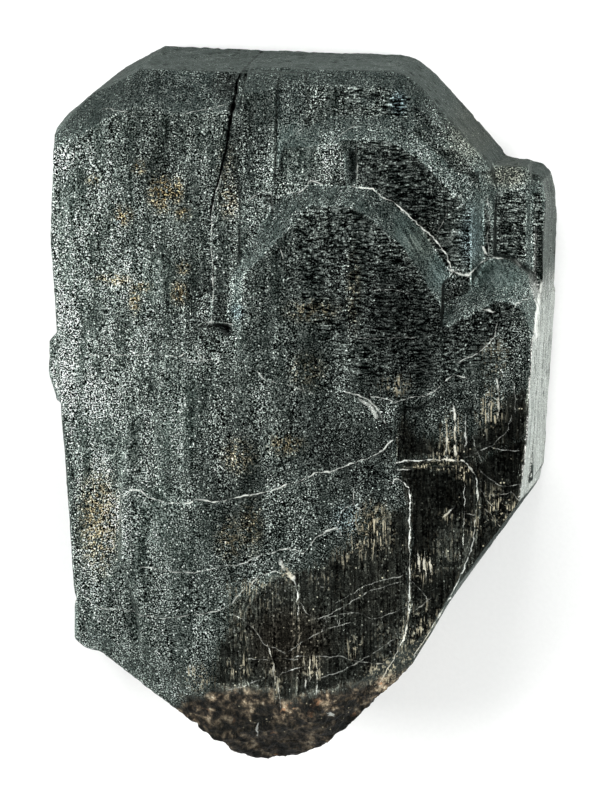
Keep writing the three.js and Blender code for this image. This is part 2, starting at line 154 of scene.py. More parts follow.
# Patches that are browner than the rest, and bluer ones.
WARM_PATCHES = [
    (30, 41, 4, 5, 0.4), (41, 66, 7, 8, 0.6), (49, 55, 5, 3, 0.7), (0, -52, 10, 9, 0.8),
    (20, -40, 9, 12, 0.25), (31, -22, 2.2, 9, 0.2),
]
COOL_PATCHES = [
    (34, 33, 3, 4, 0.3), (41, 42, 3, 8, 0.6), (24, 72, 2.2, 3, 0.8), (46, 33, 8, 3, 0.15),
    (38, -26, 4, 6, 0.5), (13, -23, 4, 4, 0.5), (-12.5, 24.5, 2, 2, 0.6), (-39, 45, 2, 1.2, 0.6),
]
# Patches where pale lines and specks run along the crystal.
PALE_PATCHES = [
    (37, -4, 2.5, 5, 0.8), (46, 2, 3, 5, 0.8), (19, -26, 5, 6, 0.9), (31, -34, 3, 3.5, 0.9),
    (15, -53, 2, 3, 0.9), (5, -58, 2.5, 4, 0.9), (42, -24, 3, 3, 0.5), (36, -30, 4, 5, 0.4),
    (-11, -49, 4, 6, 0.3), (24, 8, 3, 2, 0.8), (36, -22, 1.5, 1.2, 1.0), (47, 14, 3, 4, 0.4),
    (-12, -58, 3, 3, 0.8), (15, -30, 2, 2, 0.9), (-8, -40, 6, 3, 0.5), (46, -19, 4, 4, 0.5),
    (10, -48, 12, 8, 0.08), (-22, -61, 4, 3, 0.8), (24, -50, 3, 4, 0.2), (33, -10.8, 6, 0.8, 1.0),
    (36, -8, 4, 2.5, 0.7), (14, -32, 4, 2.5, 0.6), (8, -38, 4, 2.5, 0.5), (-4, -43, 3, 3, 0.4),
    (21, -50, 3, 3, 0.4), (26, -56, 3, 3, 0.6), (32, -44, 3, 3, 0.5), (48, -21, 5, 4, 0.9),
    (-3.5, -60, 2, 6, 0.6),
    (40, -12.5, 2, 2, 1.0), (-0.4, -35.6, 1.6, 2, 1.0), (22, -60, 5, 5, 0.9), (30, -50, 4, 6, 0.8),
]


# ---- Veins: white calcite in healed cracks ----

# Each vein is its strength, its width and its route over the front.
VEINS = [
    # the long veins across the lower half
    (0.85, 0.36, [(-38.5, -18.5), (-37, -17), (-34.5, -17), (-33, -18.5), (-30.5, -19.5),
                  (-27, -20), (-24, -20), (-21.5, -19), (-17.5, -19.5), (-14, -19), (-10.5, -18),
                  (-7, -17.5),
                 (-3.5, -16.5), (0, -15), (2.5, -14.5), (5.5, -12.5), (10, -12), (13.5, -10.5),
                 (17.5, -9), (21, -7.5), (23, -5), (24, -4.5)]),
    (0.65, 0.28, [(-34.5, -35), (-27, -36), (-22, -36), (-15, -34.5), (-11.5, -34), (-8.5, -32.5),
                  (-2.5, -30.5), (1, -30), (3, -31.5), (5.5, -28), (9, -25.5)]),
    (0.55, 0.26, [(-48.5, -42.5), (-47, -44.5), (-44.5, -45.5), (-36.5, -46), (-29.5, -47),
                  (-22.5, -46), (-16.5, -45), (-13.5, -43), (-11, -40), (-9.5, -38)]),
    # the veins across the middle
    (0.7, 0.26, [(-47, 14), (-36.5, 14), (-32.5, 14.5), (-25.5, 14), (-24.5, 15)]),
    (0.6, 0.28, [(-24.5, 13.5), (-21.5, 13), (-17, 13.5)]),
    (0.5, 0.30, [(-22, 16.5), (-21, 14), (-19.5, 13)]),
    (0.5, 0.24, [(-12.5, 13.5), (-10, 12), (-7.5, 10.5), (-5.5, 8.5), (-1.5, 8), (2, 7), (5, 6)]),
    (0.7, 0.28, [(18.5, 5.5), (21, 5), (24, 4), (27, 5), (30.5, 5.5), (33.5, 7), (35.5, 9),
                 (37.5, 10.5), (40, 10)]),
    (0.5, 0.24, [(38.5, 13.5), (42, 15), (44, 16.5), (46.5, 19), (47.5, 22.5)]),
    (0.8, 0.5, [(13, 6.3), (15.5, 5.6), (18, 4.6), (20, 2.4), (21.6, -0.6)]),
    (0.7, 1.3, [(16.2, 4.4), (18.2, 2.8), (20, 0.6)]),
    (0.4, 0.20, [(13.5, 19), (18.5, 18.5), (23.5, 19), (28, 19)]),
    (0.4, 0.20, [(18.5, 30), (23.5, 30), (28, 29)]),
    # the closed part of the seam and the fine lines that leave it
    (0.65, 0.28, [(-16, 56), (-17.5, 51.5), (-18.5, 46), (-18.5, 38), (-18, 33), (-18, 28),
                  (-18.5, 22)]),
    (0.5, 0.24, [(-18.5, 46), (-15, 46)]),
    (0.6, 0.32, [(-20, 22), (-16.5, 22), (-14, 21.5)]),
    # round the upper plates
    (1.0, 0.34, [(14, 53), (18.5, 52.5), (20.5, 51), (24, 49), (29.5, 44), (32.5, 41.5),
                 (35.5, 37.5), (36.5, 34)]),
    (0.7, 0.32, [(-1, 51.5), (1.5, 51.5), (3.5, 53.5), (4, 54.5), (7, 53.5)]),
    (0.4, 0.24, [(-10.5, 49.5), (-7.5, 51.5), (-5, 51.5), (-4.5, 48)]),
    (0.5, 0.24, [(-4, 41), (-2.5, 39.5), (-1.5, 37)]),
    (0.45, 0.24, [(8, 62.5), (11, 65), (14, 67)]),
    (1.0, 0.8, [(36.5, 34), (38.5, 33), (40.5, 33)]),
    (0.75, 0.32, [(40.5, 33), (42.5, 35), (45, 36.5), (48, 36.5), (50.5, 36), (52, 34.5)]),
    (0.45, 0.24, [(44.5, 51), (45, 46), (44.5, 41.5), (45, 37.5)]),
    (0.5, 0.26, [(34.5, 30.5), (36, 32.5), (37, 33.5)]),
    (0.6, 0.28, [(55.5, 30.5), (54.5, 28), (51.5, 27), (51, 25.5)]),
    (0.5, 0.24, [(53, 60.5), (50, 59), (45.5, 57.1), (42.5, 55), (39.6, 52.6), (36, 48.5),
                 (33.5, 43)]),
    (0.35, 0.22, [(-44.5, 70.5), (-41, 70.5), (-38, 70), (-36, 68.5)]),
    (0.45, 0.24, [(-25, 69.5), (-21.5, 70.5), (-18, 71), (-16, 71.5)]),
    (1.0, 0.6, [(43.6, 38.8), (44.4, 37.4), (46, 36.9)]),
    (1.0, 0.8, [(44.6, 25.6), (45.8, 25.3)]),
    (0.8, 0.35, [(14.6, 61.3), (14.8, 57), (14.6, 53.3)]),
    # the edges of the terraces
    (0.9, 0.30, [(24, -10.2), (26.5, -9.6), (29.5, -9.5), (33, -9.2), (36.5, -9.3), (40, -9.6),
                 (41.8, -11.3), (42.8, -13.5), (43, -17.5), (42.9, -21.5), (41.8, -30), (39, -37),
                 (36, -42.7), (31.7, -50.2), (28.5, -55.5)]),
    (0.7, 0.30, [(24.5, -11.5), (27.5, -11.5)]),
    (0.6, 0.18, [(40, -14), (40.2, -20), (39.8, -29)]),
    (0.5, 0.20, [(40, -21.5), (42.8, -21.7)]),
    # cream streaks above the terraces
    (0.9, 0.5, [(35.9, -2.5), (35.9, -9)]),
    (1.0, 0.6, [(37.6, 3), (38, -9)]),
    (0.7, 0.45, [(40.2, 0.5), (40.2, -5.8)]),
    (0.75, 0.45, [(47.2, 9.5), (47.8, 6), (47.6, 0.6)]),
    (0.5, 0.5, [(45.6, 4), (45.4, 0)]),
    (0.4, 0.3, [(51.2, 9), (51.6, 2)]),
    (0.45, 0.2, [(41.8, -4.2), (42.8, -7), (44, -9.6)]),
    (0.9, 0.32, [(23.3, -14.5), (24.3, -13.3), (25.6, -14), (27.2, -15.5), (27.6, -18), (27.6, -24),
                 (27.6, -32), (27.6, -44), (26.8, -49.3), (25, -54), (20.5, -62)]),
    (0.7, 0.28, [(-1.5, -34), (-1, -36.5), (1, -37.5), (1.8, -39.5), (1.8, -46)]),
    (0.6, 0.30, [(-9, -38.5), (-7, -36.5), (-3.5, -35.5), (-1.5, -36)]),
    # the web over the fresh break at the foot
    (0.55, 0.24, [(2.5, -43), (4, -45.5), (6.5, -46.5), (9, -45.5), (12.5, -43.5), (15.5, -41.5),
                  (19, -39.5), (22.5, -38.5), (26, -37.5)]),
    (0.5, 0.24, [(11, -42.5), (14, -40.5), (17.5, -38.5), (21.5, -37), (26, -36)]),
    (0.5, 0.24, [(9, -46), (13, -45), (16, -45), (19, -46.5), (22, -45.5), (26.5, -43.5)]),
    (0.5, 0.24, [(-1, -54.5), (2, -52.5), (5, -50.5), (9, -48.5), (13.5, -47.5)]),
    (0.5, 0.24, [(1.5, -55.5), (5, -55), (8.5, -55.5), (12, -55.3), (16, -56.5), (22, -57)]),
    (0.5, 0.24, [(6.5, -60.5), (9.5, -59.5), (12.5, -58.5), (16, -56.5), (19, -54.5), (24, -51)]),
    (0.45, 0.24, [(-14, -63.5), (-10.5, -62.5), (-6.5, -60.5), (-3.5, -60), (0, -58.5), (3, -58)]),
    (0.45, 0.24, [(-14, -45.5), (-11.5, -46.5), (-8.5, -48.5), (-7.5, -50), (-6, -52.5), (-4, -53),
                  (-1, -54.5)]),
    (0.45, 0.24, [(-10, -56), (-5, -56), (-2, -55.5), (1.5, -56)]),
    (0.5, 0.28, [(28.5, -38), (30.5, -39.5), (31.5, -41.5)]),
    (0.6, 0.40, [(28.5, -44.5), (30.5, -43), (32, -41.5)]),
    # cream tufts above the crust
    (0.65, 0.28, [(-4.9, -52.8), (-3.8, -56.7), (-3.5, -59.7), (-2.6, -62.4), (-2.4, -67.5)]),
    (0.8, 0.36, [(3.4, -56.2), (3.6, -59), (3.5, -62.6)]),
    (0.9, 0.6, [(29.6, -31.4), (29.8, -35)]),
    (0.9, 0.7, [(31, -31.8), (31.1, -35.6)]),
    (0.9, 0.5, [(32.4, -33), (32.5, -35.4)]),
    (0.8, 0.5, [(35.6, -22), (36.4, -21.6), (37, -20.6)]),
    (0.8, 0.34, [(6.2, -56), (6.3, -60), (6.2, -64)]),
    (0.7, 0.34, [(4.6, -56), (4.7, -60.5)]),
    (0.6, 0.5, [(-3.8, -57.6), (-3.4, -61)]),
    (0.6, 0.45, [(-8, -72.5), (-8.4, -76)]),
    (0.7, 0.9, [(8.8, -69.5), (9.8, -70.2)]),
    (1.0, 1.3, [(-2, -33.4), (-1, -35), (0.6, -37)]),
    (0.6, 0.35, [(14.8, -16.5), (14.2, -19.5), (16, -20.5)]),
    (0.6, 0.35, [(14.2, -19.5), (12, -21), (11, -24)]),
    (0.7, 0.6, [(8.4, -26), (10.4, -25), (11.6, -26)]),
    # the sliver of calcite in the slot at the right
    (0.95, 0.9, [(57, 30.8), (56.5, 27.5), (56.1, 22), (55.9, 18)]),
    # the web at the right
    (0.5, 0.24, [(40.5, -8.5), (44, -7), (46, -6), (48, -4), (50, -2), (50.5, 0.5)]),
    (0.5, 0.24, [(46, -6), (49, -7), (52.5, -7)]),
    (0.5, 0.24, [(44, -16.5), (45.5, -19), (47.5, -21), (50.5, -22)]),
    (0.5, 0.24, [(45, -17), (48, -17.5), (51, -16.5), (52.5, -18.5)]),
    (0.45, 0.24, [(43.5, -19.5), (46, -21.5), (48.5, -25)]),
    (0.5, 0.24, [(44, -12), (47, -14.5), (50, -15.5), (52, -15)]),
]
LINE_REACH = (1.3, 2.1)  # a vein or a crack is forgotten between these distances from its route
VEIN_CLEARANCE = 4.5  # veins nearer to each other than this are kept in different families

# Open cracks, darkened with painted shade: strength, width and route.
CRACKS = [
    (1.0, 0.36, [(-10.6, 82), (-11.8, 80.2), (-13.3, 76.9), (-13.4, 73.6), (-14.3, 67.6)]),
    (1.0, 0.32, [(-14.3, 67.6), (-15.2, 61.6), (-16.4, 56), (-18.2, 50.1), (-18.7, 46)]),
    (0.8, 0.45, [(26.2, 0), (26.4, 4.5)]),
    (0.8, 0.5, [(-20.5, 21), (-16, 21.2), (-14, 20.2)]),
    (0.7, 0.4, [(-8, 51), (-5, 50.5), (-4.6, 46.5)]),
]


# ---- Settings that a user would change ----


def length_setting(name, description, millimetres, least=0):
    return FloatProperty(
        name=name, description=description, default=millimetres * MM, min=least * MM,
        unit="LENGTH",
    )


def colour_setting(name, description, colour):
    return FloatVectorProperty(
        name=name, description=description, subtype="COLOR", size=3, default=colour, min=0, max=1,
    )


def power_setting(name, description, watts):
    return FloatProperty(
        name=name, description=description, default=watts, min=0, unit="POWER",
    )


class CrystalSettings(bpy.types.PropertyGroup):
    """Sizes and colours of the crystal's surface."""

    voxel: length_setting("Division", "Spacing of the surface's points", 0.46, 0.2)
    triangles: IntProperty(
        name="Triangles", description="Most triangles that the finished surface has",
        default=190000, min=20000, max=199000,
    )
    grain_height: length_setting(
        "Grain height", "Height of the grains on the weathered faces", 0.11)
    pit_depth: length_setting(
        "Pit depth", "Depth of the small pits on the weathered faces", 0.45)
    line_height: length_setting(
        "Growth line height", "Height of the growth lines along the crystal", 0.13)
    crust_height: length_setting(
        "Crust height", "Height of the lumps on the broken foot", 0.9)
    seed: IntProperty(
        name="Seed", description="Chooses another pattern of grains and pits", default=7,
    )
    weathered_colour: colour_setting(
        "Weathered face", "Colour of the grainy green-black faces", (0.032, 0.044, 0.0385))
    bevel_colour: colour_setting(
        "Sloping face", "Colour of the smoother faces round the upper ends",
        (0.042, 0.058, 0.0535))
    fresh_colour: colour_setting(
        "Fresh break", "Colour of the glossy brown-black breaks", (0.060, 0.066, 0.056))
    brown_colour: colour_setting(
        "Brown break", "Colour of the breaks where iron has stained them",
        (0.075, 0.068, 0.053))
    warm_colour: colour_setting(
        "Warm patch", "Colour of the browner patches on the clean faces",
        (0.046, 0.046, 0.036))
    cool_colour: colour_setting(
        "Cool patch", "Colour of the bluer patches on the clean faces", (0.030, 0.044, 0.048))
    # the right side face is lightened with a painted reflection of the bright floor beside it
    side_reflection_colour: colour_setting(
        "Side face", "Colour of the silvery face along the right side", (0.265, 0.262, 0.246))
    calcite_colour: colour_setting(
        "Calcite", "Colour of the white veins", (0.70, 0.72, 0.67))
    cream_colour: colour_setting(
        "Cream calcite", "Colour of the veins inside the pale patches", (0.62, 0.57, 0.43))
    streak_colour: colour_setting(
        "Pale streak", "Colour of the thin pale streaks and specks", (0.42, 0.38, 0.27))
    # painted glints: the colour that the most brightly shining grains turn to
    glint_colour: colour_setting(
        "Glint", "Colour of the grains that shine brightest", (0.038, 0.042, 0.039))
    rust_colour: colour_setting(
        "Iron stain", "Colour of the orange-brown stain", (0.066, 0.051, 0.025))
    crumb_colour: colour_setting(
        "Orange crumb", "Colour of the orange crumbs in the foot's crust", (0.26, 0.14, 0.075))


class StageSettings(bpy.types.PropertyGroup):
    """Camera, floor and lights."""

    distance: FloatProperty(
        name="Camera distance", description="From the camera to the front of the crystal",
        default=1.0, min=0.3, unit="LENGTH",
    )
    lens: FloatProperty(
        name="Focal length", description="Focal length of the camera's lens", default=196.4,
        min=20, unit="CAMERA",
    )
    lean_right: FloatProperty(
        name="Lean right", description="How far to the right of upright the camera stands",
        default=math.atan(0.09), subtype="ANGLE",
    )
    lean_up: FloatProperty(
        name="Lean up",
        description="How far towards the crystal's finished end the camera stands",
        default=math.atan(0.14), subtype="ANGLE",
    )
    floor_colour: colour_setting("Floor", "Colour of the floor", (0.94, 0.94, 0.93))
    left_power: power_setting("Left light", "Power of the low light at the left", 9.0)
    right_power: power_setting("Right light", "Power of the light at the right", 9.0)
    end_power: power_setting("End light", "Power of the light beyond the finished end", 6.0)


# ---- Patterns ----

# The patterns that move the regions' edges or change their brightness.
SEED_WANDER_X, SEED_WANDER_Y, SEED_FOOT_WAVES, SEED_TONE, SEED_FOOT_TEETH = 301, 302, 303, 305, 306


def smooth(low, high, value):
    """0 below low, 1 above high, and an even curve between."""
    t = np.clip((value - low) / (high - low), 0, 1)
    return t * t * (3 - 2 * t)


def scramble(cells, seed):
    """A number from 0 to 1 for each row of whole numbers, always the same one."""
    with np.errstate(over="ignore"):
        h = np.full(len(cells), (seed * 668265263 + 374761393) & 0xFFFFFFFF, np.uint32)
        for axis, factor in enumerate((2654435761, 2246822519, 3266489917)):
            h ^= cells[:, axis].astype(np.uint32) * np.uint32(factor)
            h ^= h >> np.uint32(15)
            h *= np.uint32(2246822507)
            h ^= h >> np.uint32(13)
    return h.astype(np.float64) / 0xFFFFFFFF


def noise(points, size, seed):
    """Smooth noise from -1 to 1. size is the spacing of its lumps, one number or one an axis."""
    p = points / np.asarray(size, float)
    cell = np.floor(p).astype(np.int64)
    f = p - cell
    f = f * f * (3 - 2 * f)
    total = np.zeros(len(p))
    for corner in range(8):
        step = np.array([corner & 1, corner >> 1 & 1, corner >> 2 & 1])
        weight = np.prod(np.where(step == 1, f, 1 - f), axis=1)
        total += weight * scramble(cell + step, seed)
    return total * 2 - 1


def layered(points, size, seed, layers=3):
    """Noise with finer noise on it, about -1 to 1."""
    size = np.asarray(size, float)
    total = 0
    for layer in range(layers):
        total = total + noise(points, size / 2 ** layer, seed + layer) * 0.55 ** layer
    return total / sum(0.55 ** layer for layer in range(layers))


def nearest_cell(points, size, seed):
    """Scattered spots: the distance to the nearest one, in spacings, and a number from 0 to 1
    that is that spot's own."""
    p = points / np.asarray(size, float)
    cell = np.floor(p).astype(np.int64)
    best = np.full(len(p), 9.0)
    own = np.zeros(len(p))
    for dx in (-1, 0, 1):
        for dy in (-1, 0, 1):
            for dz in (-1, 0, 1):
                there = cell + np.array([dx, dy, dz])
                spot = there + np.stack([scramble(there, seed + k) for k in (11, 12, 13)], axis=1)
                distance = np.linalg.norm(p - spot, axis=1)
                nearer = distance < best
                best = np.where(nearer, distance, best)
                own = np.where(nearer, scramble(there, seed + 14), own)
    return best, own


# ---- Regions ----


def edge_distance(route, p):
    """Signed distance in XY from each point to an open route, and how far past its ends it is."""
    best = np.full(len(p), 1e9)
    signed = np.zeros(len(p))
    past = np.zeros(len(p))
    last = len(route) - 2
    for i, (a, b) in enumerate(zip(route, route[1:])):
        a = np.array(a, float)
        b = np.array(b, float)
        length = np.linalg.norm(b - a)
        along = (b - a) / length
        d = p[:, :2] - a
        t = d @ along
        side = d[:, 1] * along[0] - d[:, 0] * along[1]
        nearest = np.clip(t, 0, length)
        distance = np.hypot(t - nearest, side)
        nearer = distance < best
        best = np.where(nearer, distance, best)
        signed = np.where(nearer, np.where(side < 0, -distance, distance), signed)
        over = np.zeros(len(p))
        if i == 0:
            over = np.maximum(over, -t)
        if i == last:
            over = np.maximum(over, t - length)
        past = np.where(nearer, over, past)
    return signed, past


def within(outline, p, soft):
    """1 inside an outline in XY, 0 outside, with an edge that is soft wide."""
    closed = outline + outline[:1]
    signed, _ = edge_distance(closed, p)
    x, y = p[:, 0], p[:, 1]
    inside = np.zeros(len(p), bool)
    for (ax, ay), (bx, by) in zip(closed, closed[1:]):
        crosses = (ay > y) != (by > y)
        at = ax + (bx - ax) * (y - ay) / (by - ay if by != ay else 1)
        inside ^= crosses & (x < at)
    return smooth(-soft, soft, np.where(inside, np.abs(signed), -np.abs(signed)))


def patches(table, p):
    """How strongly each point lies in any of the patches of a table."""
    total = np.zeros(len(p))
    for x, y, wide, high, strength in table:
        r = np.hypot((p[:, 0] - x) / wide, (p[:, 1] - y) / high)
        total = np.maximum(total, strength * (1 - smooth(0.35, 1.5, r)))
    return total


def blended(table, p):
    """The product of a table's factors, each one fading out round its patch."""
    total = np.ones(len(p))
    for x, y, wide, high, factor in table:
        total *= factor ** patches([(x, y, wide, high, 1)], p)
    return total


def regions(p, facing):
    """Which finish each point has. facing is the direction of the flat face that it lies on."""
    wander = np.zeros((len(p), 3))
    wander[:, 0] = 1.6 * layered(p, 7, SEED_WANDER_X)
    wander[:, 1] = 1.6 * layered(p, 7, SEED_WANDER_Y)
    w = p + wander
    up = facing[:, 2]
    front = smooth(0.86, 0.95, up)
    foot_line = -63.3 - 0.35 * np.maximum(-12 - w[:, 0], 0) + 0.2 * np.maximum(w[:, 0] - 6, 0)
    foot_line += 2.0 * layered(p, 9, SEED_FOOT_WAVES) + 1.3 * layered(p, 2.6, SEED_FOOT_TEETH)
    crust = 1 - smooth(foot_line - 2.5, foot_line + 1.5, w[:, 1] + 0.14 * (p[:, 2] - TOP))
    crust = crust * smooth(2, 6, p[:, 2])
    fresh = np.zeros(len(p))
    gloss = np.ones(len(p))
    for soft, bright, outline in BREAKS:
        inside = within(outline, w, soft)
        gloss = np.where(inside > fresh, bright, gloss)
        fresh = np.maximum(fresh, inside)
    # at the foot the break goes on down the right-hand faces
    low = smooth(0.5, 0.7, -facing[:, 1]) * smooth(20, 26, p[:, 0])
    low = np.minimum((1 - smooth(-42, -34, p[:, 1])) + low, 1)
    fresh = fresh * smooth(0.3 - 0.6 * low, 0.5 - 0.6 * low, up)
    fresh *= smooth(40 - 50 * low, 43 - 50 * low, p[:, 2])
    rippled = np.zeros(len(p))
    for outline in RIPPLED_FACES:
        rippled = np.maximum(rippled, within(outline, w, 1.5))
    rippled = rippled * front * (1 - fresh)
    side = smooth(0.90, 0.97, facing[:, 0]) * smooth(47, 51, p[:, 0]) * (1 - crust)
    side *= 1 - 0.85 * smooth(24, 34, p[:, 1])
    sloping = smooth(0.2, 0.35, up) * (1 - smooth(0.90, 0.965, up)) * (1 - crust)
    sloping *= smooth(24, 28, p[:, 2])
    # small steps in the front, and the break at the foot, keep the finish of the face beside them
    step = (1 - smooth(18, 22, p[:, 1])) * smooth(44.6, 45.4, p[:, 2])
    step = np.maximum(step, (1 - smooth(-58, -48, p[:, 1])) * smooth(0.2, 0.35, up))
    sloping *= 1 - step
    # the ledges low in the sides are finished as the sides: rough, darkened with painted shade
    ledge = (1 - smooth(27.5, 29.5, p[:, 2])) * smooth(0.3, 0.5, up)
    outer = np.maximum(1 - smooth(0.1, 0.3, up), ledge) * (1 - side) * (1 - crust) * (1 - step)
    front = np.maximum(front, step) * (1 - ledge)
    sloping *= 1 - ledge
    return {
        "front": front, "crust": crust, "fresh": fresh, "rippled": rippled, "side": side,
        "sloping": sloping, "outer": outer, "gloss": gloss,
        # how far down the crust each point lies, which sets the crust's painted shade
        "foot": smooth(1, 9, foot_line - w[:, 1]), "ledge": ledge,
    }


# ---- The crystal's surface ----


def welded_solid():
    """A copy of the solid's mesh with its shared corners joined."""
    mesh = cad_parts[NODE].data.copy()
    shape = bmesh.new()
    shape.from_mesh(mesh)
    bmesh.ops.remove_doubles(shape, verts=shape.verts, dist=0.001 * MM)
    shape.to_mesh(mesh)
    shape.free()
    return mesh


def applied(obj):
    """The object's mesh with its modifiers applied."""
    graph = bpy.context.evaluated_depsgraph_get()
    return bpy.data.meshes.new_from_object(obj.evaluated_get(graph), depsgraph=graph)


def divided(mesh, voxel):
    """The mesh as a closed skin of small even faces."""
    obj = bpy.data.objects.new("division", mesh)
    bpy.context.scene.collection.objects.link(obj)
    remesh = obj.modifiers.new("division", "REMESH")
    remesh.mode = "VOXEL"
    remesh.voxel_size = voxel
    skin = applied(obj)
    bpy.data.objects.remove(obj)
    return skin


def thinned(mesh, triangles, keep):
    """The mesh with fewer faces: flat stretches and points with a low keep lose the most."""
    obj = bpy.data.objects.new("thinning", mesh)
    bpy.context.scene.collection.objects.link(obj)
    group = obj.vertex_groups.new(name="keep")
    for level in range(1, KEEP_LEVELS + 1):
        chosen = np.flatnonzero(np.rint(keep * KEEP_LEVELS) == level)
        group.add(chosen.tolist(), 1 - level / (KEEP_LEVELS + 1), "REPLACE")
    rest = np.flatnonzero(np.rint(keep * KEEP_LEVELS) == 0)
    group.add(rest.tolist(), 1.0, "REPLACE")
    count = sum(len(face.vertices) - 2 for face in mesh.polygons)
    decimate = obj.modifiers.new("thinning", "DECIMATE")
    decimate.ratio = min(1.0, triangles / count)
    decimate.use_collapse_triangulate = True
    decimate.vertex_group = group.name
    decimate.vertex_group_factor = KEEP_FACTOR
    skin = applied(obj)
    bpy.data.objects.remove(obj)
    return skin


def points_of(mesh):
    """The mesh's points, in millimetres."""
    co = np.zeros(len(mesh.vertices) * 3)
    mesh.vertices.foreach_get("co", co)
    return co.reshape(-1, 3) / MM


def normals_of(mesh):
    """The direction of the skin at each point."""
    n = np.zeros(len(mesh.vertices) * 3, np.float32)
    mesh.vertex_normals.foreach_get("vector", n)
    return n.reshape(-1, 3).astype(float)


def face_directions(points, solid):
    """The direction of the solid's flat face nearest to each point."""
    tree = BVHTree.FromPolygons(
        [v.co[:] for v in solid.vertices], [f.vertices[:] for f in solid.polygons]
    )
    facing = np.zeros((len(points), 3))
    for i, point in enumerate(points * MM):
        facing[i] = tree.find_nearest(point)[1]
    return facing


def roundness(mesh, points, normals, passes):
    """How far each point stands proud: above 0 on an edge, below 0 in a corner."""
    edges = np.zeros(len(mesh.edges) * 2, np.int32)
    mesh.edges.foreach_get("vertices", edges)
    a, b = edges.reshape(-1, 2).T
    count = np.bincount(a, minlength=len(points)) + np.bincount(b, minlength=len(points))
    smoothed = points.copy()
    for _ in range(passes):
        total = np.zeros_like(smoothed)
        for axis in range(3):
            total[:, axis] = np.bincount(a, smoothed[b, axis], len(points))
            total[:, axis] += np.bincount(b, smoothed[a, axis], len(points))
        smoothed = total / np.maximum(count, 1)[:, None]
    return np.sum((points - smoothed) * normals, axis=1)


def relief(p, proud, zone, settings):
    """How far each point of the skin is raised, in millimetres."""
    seed = settings.seed
    grain = settings.grain_height / MM
    pit = settings.pit_depth / MM
    line = settings.line_height / MM
    lump = settings.crust_height / MM
    weathered = (1 - zone["fresh"]) * (1 - zone["crust"]) * (1 - 0.65 * zone["sloping"])
    flatness = 1 - 0.7 * zone["side"]

    height = weathered * flatness * grain * (
        1.1 * layered(p, 1.5, seed + 1, 2) + 0.9 * layered(p, 4.5, seed + 2)
    )
    # growth lines: noise drawn out along the crystal
    lines = layered(p, (1.5, 16, 5), seed + 3, 2)
    broad = layered(p, (5, 34, 16), seed + 4, 2)
    height += line * (0.4 + 0.6 * weathered) * lines + 0.8 * line * weathered * broad
    # pits, longer along the crystal than across it
    distance, own = nearest_cell(p, (2.3, 3.6, 3), seed + 5)
    often = 0.30 + 0.25 * zone["rippled"] - 0.2 * zone["sloping"]
    deep = (own < often) * (0.4 + 0.6 * own / 0.5)
    height -= pit * weathered * flatness * deep * (1 - smooth(0.12, 0.42, distance))
    # flakes: flat scales that end in a small step
    bent = p + 1.2 * np.stack([lines, broad, lines], axis=1)
    _, own = nearest_cell(bent, (7, 12, 9), seed + 6)
    height += 0.11 * (own - 0.5) * (weathered + 0.7 * zone["fresh"])
    # the lumpy foot
    ridged = 1 - np.abs(layered(p, 4.2, seed + 7, 3)) * 2
    height += zone["crust"] * lump * (0.55 * ridged - 0.25 + 0.55 * layered(p, 1.6, seed + 8, 2))
    _, own = nearest_cell(p, 3.1, seed + 9)
    height += zone["crust"] * lump * 0.5 * (own - 0.5)
    # edges are rubbed, with small chips out of them
    edge = smooth(0.10, 0.45, proud)
    chipped = smooth(0.05, 0.5, layered(p, (2.6, 3.4, 2.6), seed + 10, 2))
    height -= edge * (0.06 + 0.38 * chipped)
    return height


def crystal_mesh(settings):
    """The crystal's finished skin, and the welded solid that it was made from."""
    solid = welded_solid()
    skin = divided(solid.copy(), settings.voxel)
    p = points_of(skin)
    normals = normals_of(skin)
    facing = face_directions(p, solid)
    zone = regions(p, facing)
    proud = roundness(skin, p, normals, WIDE_ROUNDING)
    height = relief(p, proud, zone, settings)
    # the face that it rests on is only pitted, so that it stays flat
    height = np.where(p[:, 2] < REST_SKIN, np.minimum(height, 0), height)
    moved = p + normals * height[:, None]
    moved[:, 2] = np.clip(moved[:, 2], 0, TOP + MOST_PROUD)
    skin.vertices.foreach_set("co", (moved * MM).ravel())
    skin.update()
    spared = smooth(0.2, 0.4, facing[:, 2]) * smooth(24, 30, p[:, 2]) * (0.6 + 0.4 * zone["fresh"])
    thin = thinned(skin, settings.triangles, spared)
    thin.name = "tantalite_surface"
    for face in thin.polygons:
        face.use_smooth = True
    thin.set_sharp_from_angle(angle=SHARP_ANGLE)
    return thin, solid


def store(mesh, name, columns):
    """Keeps three numbers for each point of the mesh, for the finish to read."""
    attribute = mesh.attributes.new(name, "FLOAT_VECTOR", "POINT")
    attribute.data.foreach_set("vector", np.stack(columns, axis=1).astype(np.float32).ravel())


